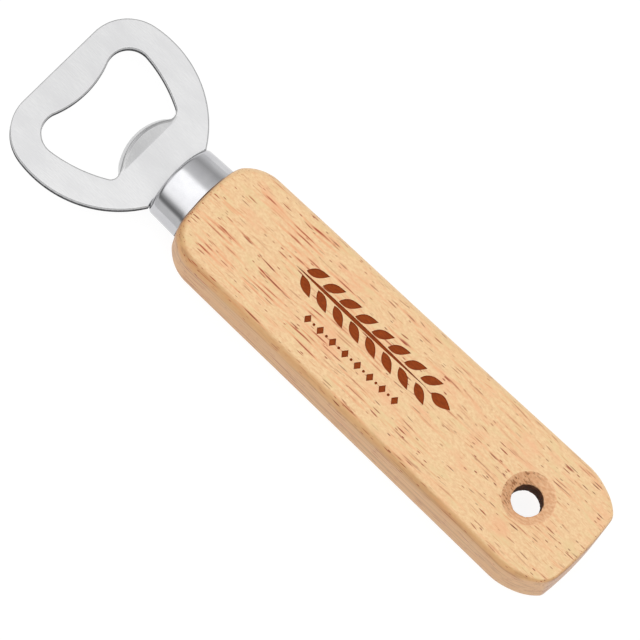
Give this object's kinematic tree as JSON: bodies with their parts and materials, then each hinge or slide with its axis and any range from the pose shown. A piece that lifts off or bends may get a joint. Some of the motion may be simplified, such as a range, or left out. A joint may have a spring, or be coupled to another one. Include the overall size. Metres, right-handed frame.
{
  "type": "hand bottle opener",
  "caption": "Flat hand bottle opener: stamped steel head with a lipped window, polished oval ferrule and a wooden handle with a hanging hole.",
  "frame": {"origin": "under the centre of the bounding box, on the plane of the handle's back face", "axes": "+X along the handle towards the steel head, +Y across the handle, +Z out of the front face"},
  "size_m": [0.1458, 0.0408, 0.014],
  "materials": {
    "head_steel": "brushed along the handle",
    "ferrule_polish": "mirror polished",
    "handle_wood": "sanded pale hardwood, thin matt lacquer",
    "cured_adhesive": "cured amber epoxy, hidden"
  },
  "bodies": {
    "root": {"opener_head": "head_steel", "ferrule": "ferrule_polish", "wooden_handle": "handle_wood", "tang_adhesive": "cured_adhesive"}
  },
  "joints": []
}
